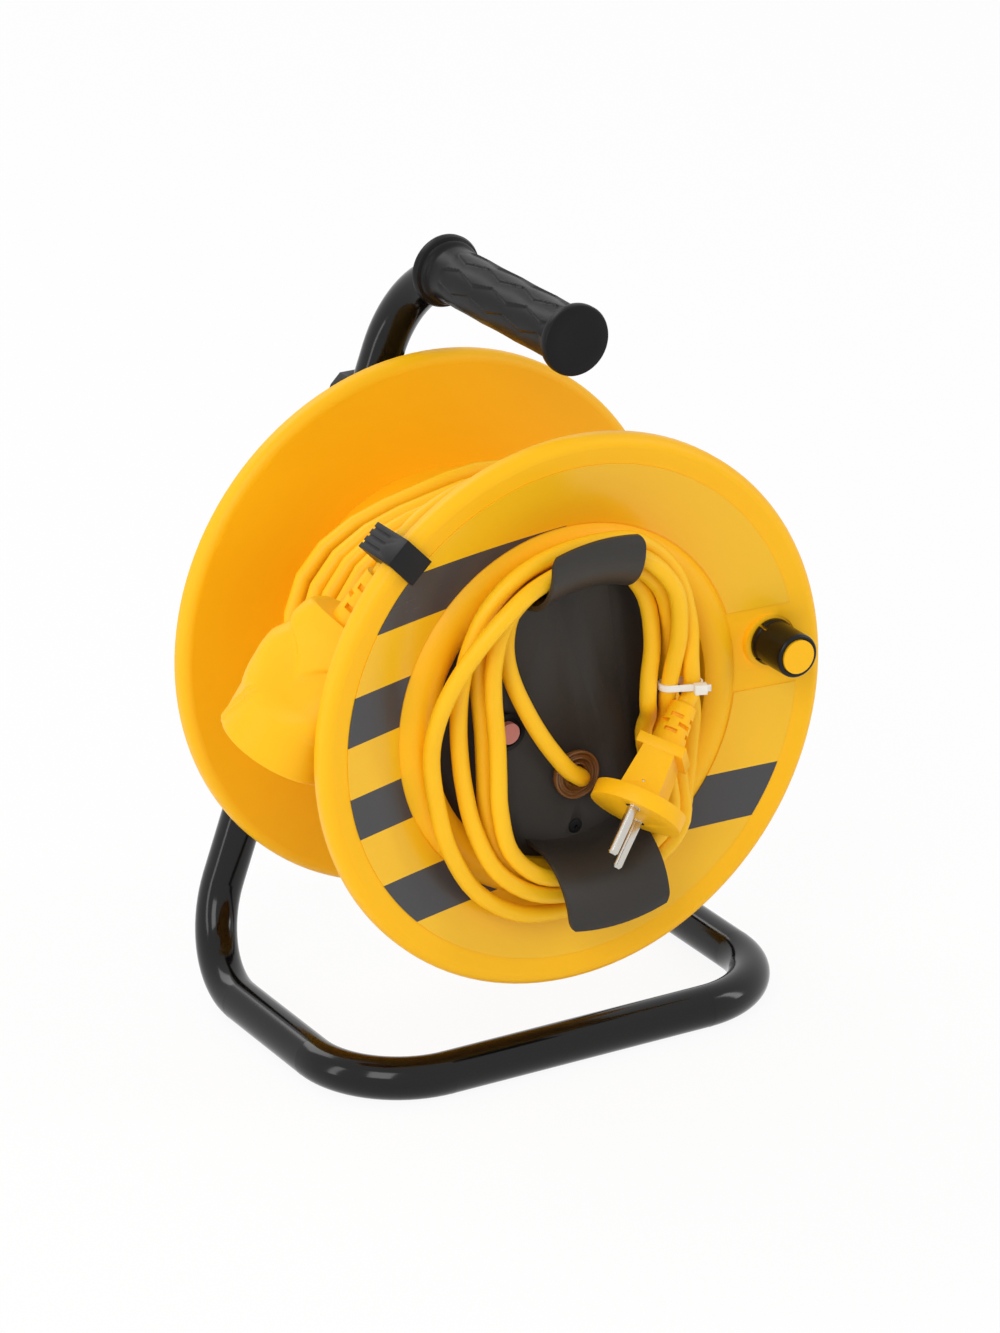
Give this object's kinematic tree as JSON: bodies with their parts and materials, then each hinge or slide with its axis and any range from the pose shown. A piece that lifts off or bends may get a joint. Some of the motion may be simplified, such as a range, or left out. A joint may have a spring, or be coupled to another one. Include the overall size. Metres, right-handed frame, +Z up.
{
  "type": "extension cord reel",
  "caption": "Yellow drum of extension cord that turns on a bent black tube stand with a top grip, flared cord horns, a crank knob, a plug and a coupler.",
  "frame": {"origin": "on the floor, below the middle of the reel without its cord", "axes": "+X to the right seen from the drum's printed face, +Y towards the rear yoke, +Z up"},
  "size_m": [0.2287, 0.1837, 0.2899],
  "materials": {
    "frame_paint": "gloss black powder coat",
    "grip_rubber": "soft satin black",
    "black_plastic": "moulded black",
    "zinc_steel": "zinc plated",
    "dark_steel": "blackened",
    "amber_plastic": "satin amber yellow moulding",
    "yellow_plastic": "satin yellow vinyl",
    "yellow_cord": "satin yellow vinyl sheath",
    "white_plastic": "natural white nylon",
    "label_film": "glossy golden film with dark bands",
    "charcoal_plastic": "fine grained charcoal",
    "brown_plastic": "translucent brown",
    "pink_plastic": "dull pink",
    "knob_plastic": "glossy near black",
    "contact_brass": "plain",
    "clear_nylon": "translucent natural nylon",
    "pin_nickel": "nickel plated"
  },
  "bodies": {
    "stand": {"frame_tube": "frame_paint", "handle_grip": "grip_rubber", "leg_end_plug": "black_plastic", "yoke_front": "black_plastic", "yoke_rear": "black_plastic", "yoke_screws": "zinc_steel", "axle_bolt": "zinc_steel", "axle_washers": "zinc_steel", "axle_nut": "zinc_steel"},
    "drum": {"front_flange": "amber_plastic", "rear_flange": "amber_plastic", "drum_core": "amber_plastic", "front_flange_screws": "zinc_steel", "rear_flange_screws": "zinc_steel", "front_bush": "white_plastic", "rear_bush": "white_plastic", "label_ring": "label_film", "cord_horns": "charcoal_plastic", "horn_screws": "dark_steel", "cord_gland": "brown_plastic", "gland_nut": "black_plastic", "cutout_body": "black_plastic", "cutout_nut": "black_plastic", "terminal_block": "white_plastic", "terminal_screws": "zinc_steel", "cord_clamp": "white_plastic", "clamp_screws": "zinc_steel", "crank_post": "yellow_plastic", "winding_core": "yellow_cord", "cord_winding": "yellow_cord", "connector_lead": "yellow_cord", "connector_sleeve": "yellow_plastic", "connector_body": "yellow_plastic", "connector_contacts": "contact_brass", "rim_clip": "black_plastic", "tail_coil": "yellow_cord", "cable_tie": "clear_nylon", "plug_sleeve": "yellow_plastic", "plug_body": "yellow_plastic", "plug_pins": "pin_nickel"},
    "knob": {"knob_sleeve": "knob_plastic"},
    "button": {"reset_button": "pink_plastic"}
  },
  "joints": [
    {"name": "drum_spin", "type": "hinge", "parent": "stand", "child": "drum", "pos_m": [0, 0, 0.14], "axis": [0, 1, 0], "continuous": true},
    {"name": "knob_spin", "type": "hinge", "parent": "drum", "child": "knob", "pos_m": [0.0838, -0.06, 0.151], "axis": [0, 1, 0], "continuous": true},
    {"name": "button_press", "type": "slide", "parent": "drum", "child": "button", "axis": [0, 1, 0], "range_m": [0, 0.002], "stiffness_N_per_m": 400, "springref_m": -0.001}
  ]
}
